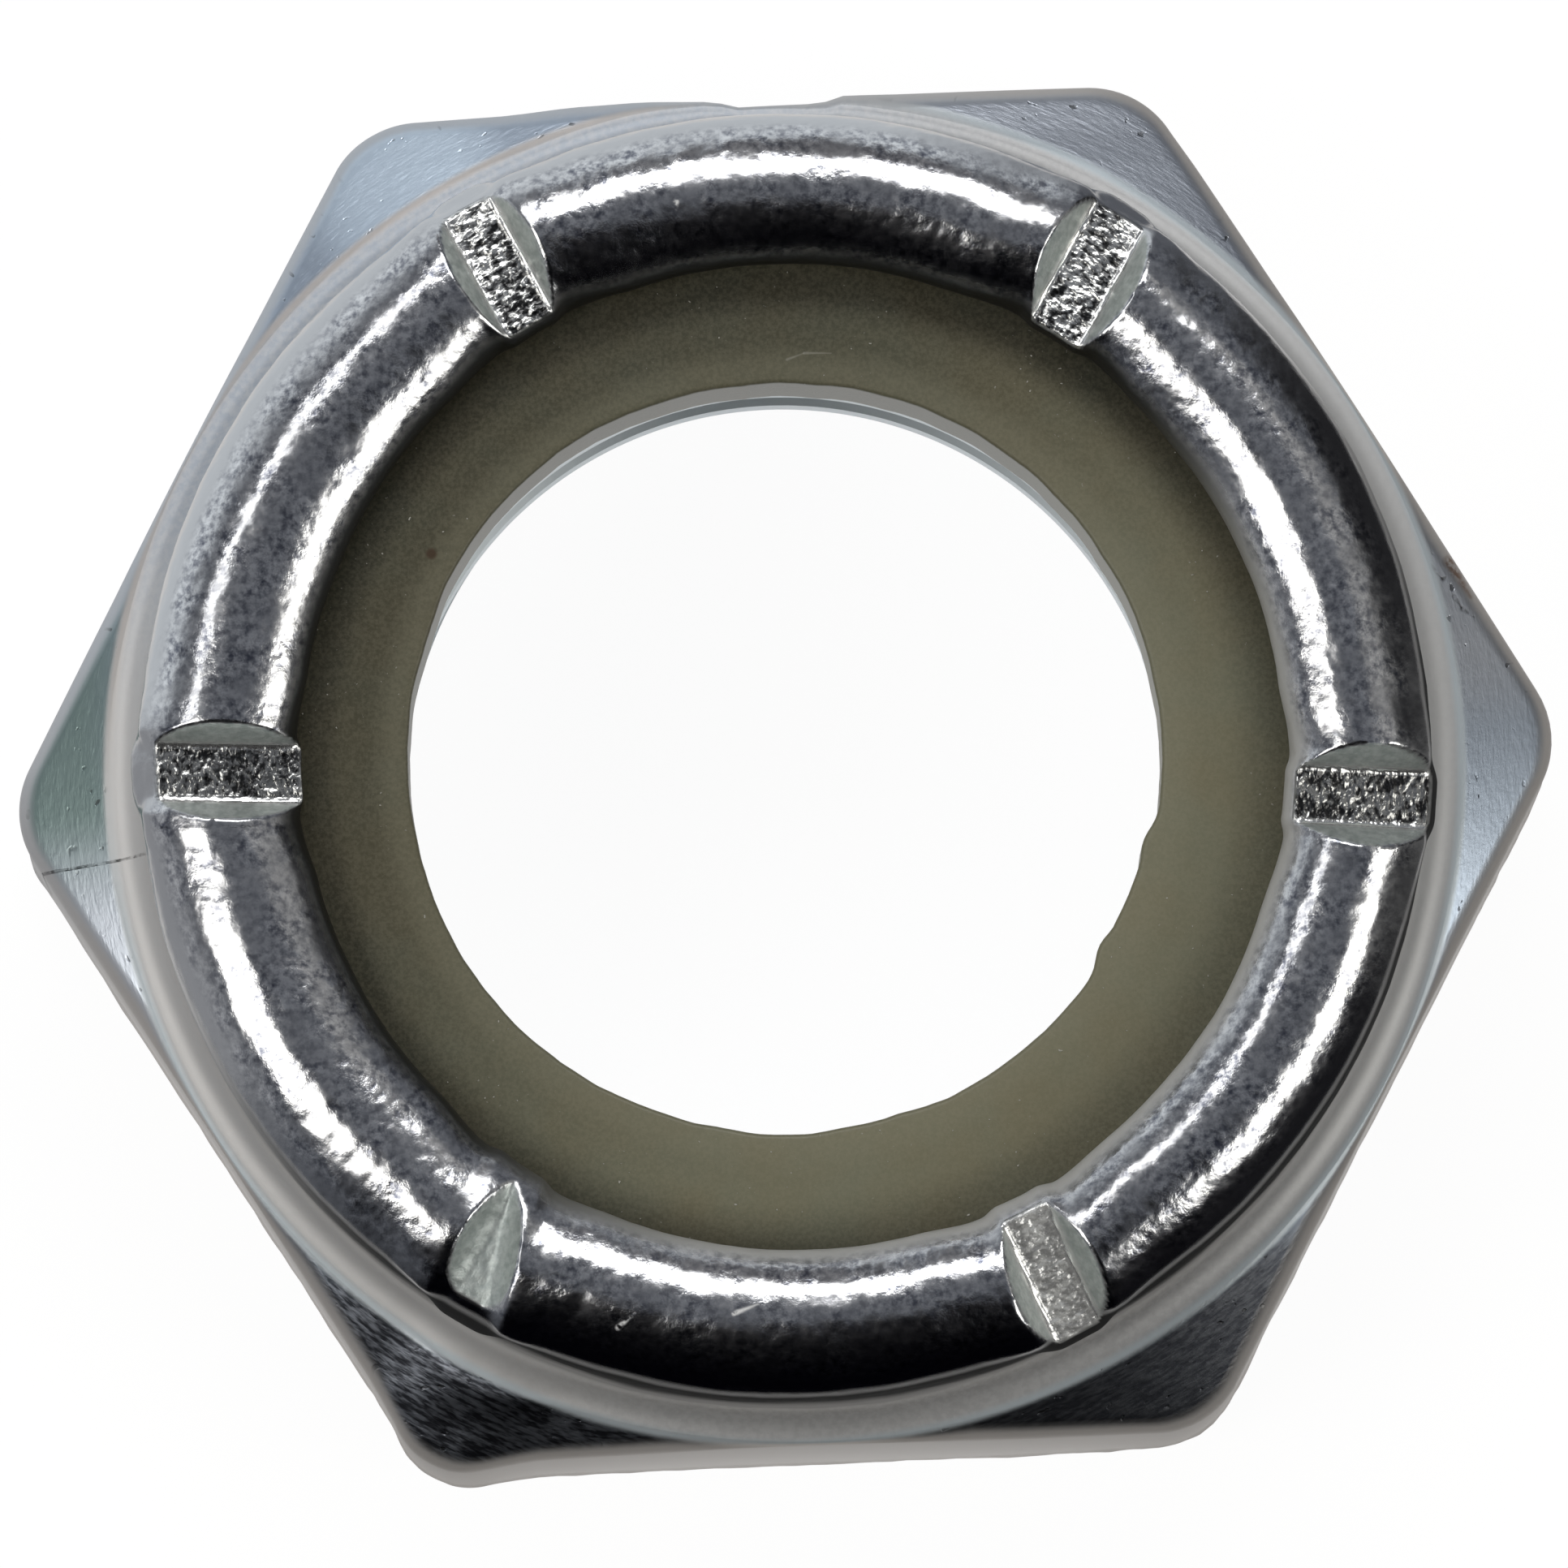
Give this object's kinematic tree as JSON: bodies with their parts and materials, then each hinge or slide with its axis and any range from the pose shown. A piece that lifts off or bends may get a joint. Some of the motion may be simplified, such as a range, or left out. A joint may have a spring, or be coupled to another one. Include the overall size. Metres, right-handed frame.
{
  "type": "nylon insert lock nut",
  "caption": "Thin hexagonal lock nut with a rolled collar that traps an unthreaded nylon ring, which grips a bolt's thread so that the nut doesn't work loose.",
  "frame": {"origin": "centre of the bearing face, at the bottom of the nut", "axes": "+Z along the nut's axis from the bearing face towards the rolled crown, with two corners of the hexagon on the X axis"},
  "size_m": [0.0216, 0.019, 0.0097],
  "materials": {
    "zinc_steel": "bright clear zinc plating with a faint blue and green sheen",
    "nylon": "natural nylon, olive grey and a little translucent"
  },
  "bodies": {
    "root": {"nut_body": "zinc_steel", "nylon_insert": "nylon"}
  },
  "joints": []
}
